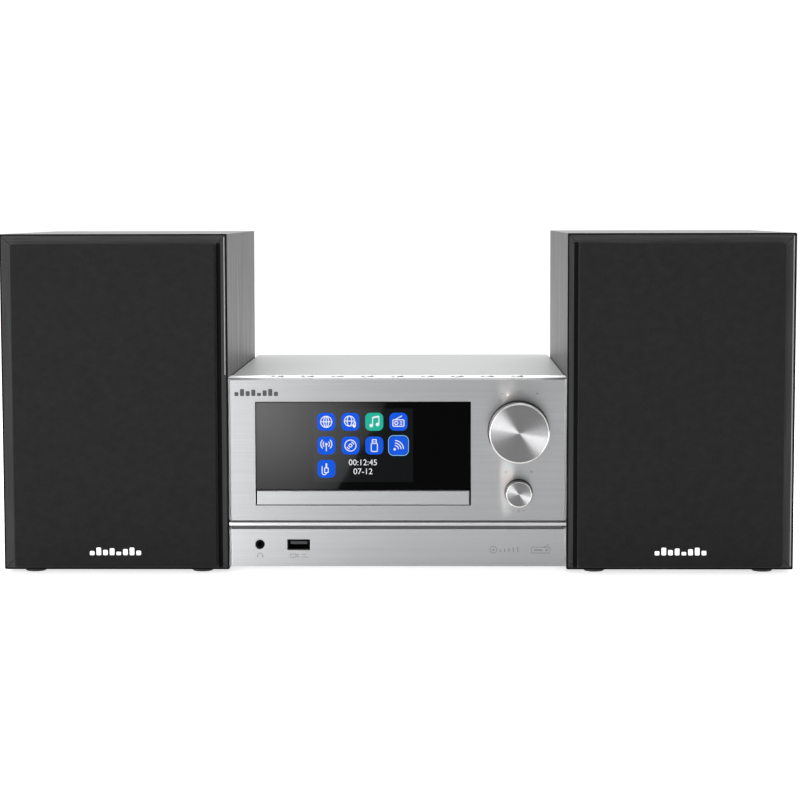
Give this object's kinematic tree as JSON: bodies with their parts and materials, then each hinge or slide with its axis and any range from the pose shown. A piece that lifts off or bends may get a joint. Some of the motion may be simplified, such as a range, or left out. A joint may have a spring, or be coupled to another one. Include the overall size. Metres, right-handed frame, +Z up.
{
  "type": "mini hifi system",
  "caption": "Mini hifi system: silver disc receiver with colour display, disc tray, knobs and top buttons between two black bookshelf speakers with pull-off cloth grilles.",
  "frame": {"origin": "on the surface that the system stands on, at the centre of its bounding box", "axes": "+X to the right of someone facing it, +Y to the back, +Z up"},
  "size_m": [0.5282, 0.274, 0.227],
  "materials": {
    "brushed_front": "horizontally brushed, satin",
    "bright_trim": "bright turned and diamond cut",
    "silver_paint": "fine satin silver paint",
    "zinc_steel": "zinc plated sheet",
    "black_abs": "moulded, matt",
    "black_gloss": "polished display window",
    "display_face": "lit display panel",
    "white_acetal": "natural acetal",
    "circuit_board": "green solder mask",
    "nickel": "nickel plated contact shells",
    "black_vinyl": "black woodgrain foil on fibreboard",
    "baffle_board": "black painted fibreboard",
    "grille_cloth": "fine woven speaker cloth",
    "paper_cone": "pressed pulp, coated",
    "rubber": "matt rubber"
  },
  "bodies": {
    "main_unit": {"front_panel": "brushed_front", "trim_bar": "bright_trim", "lower_panel": "brushed_front", "front_moulding": "black_abs", "display_window": "black_gloss", "display_module": "display_face", "control_board": "circuit_board", "jack_board": "nickel", "loader_frame": "black_abs", "chassis_base": "zinc_steel", "top_cover": "silver_paint", "rear_panel": "zinc_steel", "main_board": "circuit_board", "power_board": "circuit_board", "unit_foot_front_left": "rubber", "unit_foot_front_right": "rubber", "unit_foot_rear_left": "rubber", "unit_foot_rear_right": "rubber"},
    "volume_dial": {"volume_knob": "bright_trim"},
    "select_push": {"select_shaft": "zinc_steel"},
    "select_dial": {"select_knob": "bright_trim"},
    "tray": {"disc_tray": "black_abs", "tray_door": "brushed_front"},
    "gear": {"loading_gear": "white_acetal"},
    "platter": {"turntable": "black_abs"},
    "clamp": {"disc_clamp": "white_acetal"},
    "laser": {"laser_sled": "zinc_steel"},
    "top_button_1": {"top_button_1": "silver_paint"},
    "top_button_2": {"top_button_2": "silver_paint"},
    "top_button_3": {"top_button_3": "silver_paint"},
    "top_button_4": {"top_button_4": "silver_paint"},
    "top_button_5": {"top_button_5": "silver_paint"},
    "top_button_6": {"top_button_6": "silver_paint"},
    "top_button_7": {"top_button_7": "silver_paint"},
    "top_button_8": {"top_button_8": "silver_paint"},
    "top_button_9": {"top_button_9": "silver_paint"},
    "left_speaker": {"left_cabinet": "black_vinyl", "left_baffle": "baffle_board", "left_woofer_frame": "zinc_steel", "left_tweeter": "black_abs", "left_terminal_cup": "black_abs", "left_port_tube": "black_abs", "left_speaker_foot_front_left": "rubber", "left_speaker_foot_front_right": "rubber", "left_speaker_foot_rear_left": "rubber", "left_speaker_foot_rear_right": "rubber"},
    "left_grille_panel": {"left_grille": "grille_cloth"},
    "left_cone": {"left_woofer_cone": "paper_cone"},
    "right_speaker": {"right_cabinet": "black_vinyl", "right_baffle": "baffle_board", "right_woofer_frame": "zinc_steel", "right_tweeter": "black_abs", "right_terminal_cup": "black_abs", "right_port_tube": "black_abs", "right_speaker_foot_front_left": "rubber", "right_speaker_foot_front_right": "rubber", "right_speaker_foot_rear_left": "rubber", "right_speaker_foot_rear_right": "rubber"},
    "right_grille_panel": {"right_grille": "grille_cloth"},
    "right_cone": {"right_woofer_cone": "paper_cone"}
  },
  "joints": [
    {"name": "volume_turn", "type": "hinge", "parent": "main_unit", "child": "volume_dial", "pos_m": [0.0807, -0.123, 0.0956], "axis": [0, 1, 0], "continuous": true},
    {"name": "select_press", "type": "slide", "parent": "main_unit", "child": "select_push", "axis": [0, 1, 0], "range_m": [0, 0.0005], "stiffness_N_per_m": 2500, "springref_m": -0.0002},
    {"name": "select_turn", "type": "hinge", "parent": "select_push", "child": "select_dial", "pos_m": [0.0807, -0.123, 0.0545], "axis": [0, 1, 0], "continuous": true},
    {"name": "tray_slide", "type": "slide", "parent": "main_unit", "child": "tray", "axis": [0, -1, 0], "range_m": [0, 0.135]},
    {"name": "gear_turn", "type": "hinge", "parent": "main_unit", "child": "gear", "pos_m": [-0.066, -0.085, 0.0442], "axis": [0, 0, 1], "range_deg": [-580, 0]},
    {"name": "platter_spin", "type": "hinge", "parent": "main_unit", "child": "platter", "pos_m": [-0.02295, -0.0487, 0.043], "axis": [0, 0, 1], "continuous": true},
    {"name": "clamp_spin", "type": "hinge", "parent": "main_unit", "child": "clamp", "pos_m": [-0.02295, -0.0487, 0.0585], "axis": [0, 0, 1], "continuous": true},
    {"name": "laser_slide", "type": "slide", "parent": "main_unit", "child": "laser", "axis": [0, 1, 0], "range_m": [0, 0.033]},
    {"name": "top_button_1_press", "type": "slide", "parent": "main_unit", "child": "top_button_1", "axis": [0, 0, -1], "range_m": [0, 0.0006], "stiffness_N_per_m": 1500, "springref_m": -0.0003},
    {"name": "top_button_2_press", "type": "slide", "parent": "main_unit", "child": "top_button_2", "axis": [0, 0, -1], "range_m": [0, 0.0006], "stiffness_N_per_m": 1500, "springref_m": -0.0003},
    {"name": "top_button_3_press", "type": "slide", "parent": "main_unit", "child": "top_button_3", "axis": [0, 0, -1], "range_m": [0, 0.0006], "stiffness_N_per_m": 1500, "springref_m": -0.0003},
    {"name": "top_button_4_press", "type": "slide", "parent": "main_unit", "child": "top_button_4", "axis": [0, 0, -1], "range_m": [0, 0.0006], "stiffness_N_per_m": 1500, "springref_m": -0.0003},
    {"name": "top_button_5_press", "type": "slide", "parent": "main_unit", "child": "top_button_5", "axis": [0, 0, -1], "range_m": [0, 0.0006], "stiffness_N_per_m": 1500, "springref_m": -0.0003},
    {"name": "top_button_6_press", "type": "slide", "parent": "main_unit", "child": "top_button_6", "axis": [0, 0, -1], "range_m": [0, 0.0006], "stiffness_N_per_m": 1500, "springref_m": -0.0003},
    {"name": "top_button_7_press", "type": "slide", "parent": "main_unit", "child": "top_button_7", "axis": [0, 0, -1], "range_m": [0, 0.0006], "stiffness_N_per_m": 1500, "springref_m": -0.0003},
    {"name": "top_button_8_press", "type": "slide", "parent": "main_unit", "child": "top_button_8", "axis": [0, 0, -1], "range_m": [0, 0.0006], "stiffness_N_per_m": 1500, "springref_m": -0.0003},
    {"name": "top_button_9_press", "type": "slide", "parent": "main_unit", "child": "top_button_9", "axis": [0, 0, -1], "range_m": [0, 0.0006], "stiffness_N_per_m": 1500, "springref_m": -0.0003},
    {"name": "left_speaker_place", "type": "slide", "parent": "main_unit", "child": "left_speaker", "axis": [-1, 0, 0], "range_m": [0, 0.3]},
    {"name": "left_grille_pull", "type": "slide", "parent": "left_speaker", "child": "left_grille_panel", "axis": [0, -1, 0], "range_m": [0, 0.03]},
    {"name": "left_cone_stroke", "type": "slide", "parent": "left_speaker", "child": "left_cone", "axis": [0, -1, 0], "range_m": [-0.002, 0.002], "stiffness_N_per_m": 1500},
    {"name": "right_speaker_place", "type": "slide", "parent": "main_unit", "child": "right_speaker", "axis": [1, 0, 0], "range_m": [0, 0.3]},
    {"name": "right_grille_pull", "type": "slide", "parent": "right_speaker", "child": "right_grille_panel", "axis": [0, -1, 0], "range_m": [0, 0.03]},
    {"name": "right_cone_stroke", "type": "slide", "parent": "right_speaker", "child": "right_cone", "axis": [0, -1, 0], "range_m": [-0.002, 0.002], "stiffness_N_per_m": 1500}
  ],
  "couplings": [
    {"joint": "gear_turn", "follows": "tray_slide", "rad_per_m": -74.6},
    {"joint": "clamp_spin", "follows": "platter_spin", "ratio": 1}
  ]
}
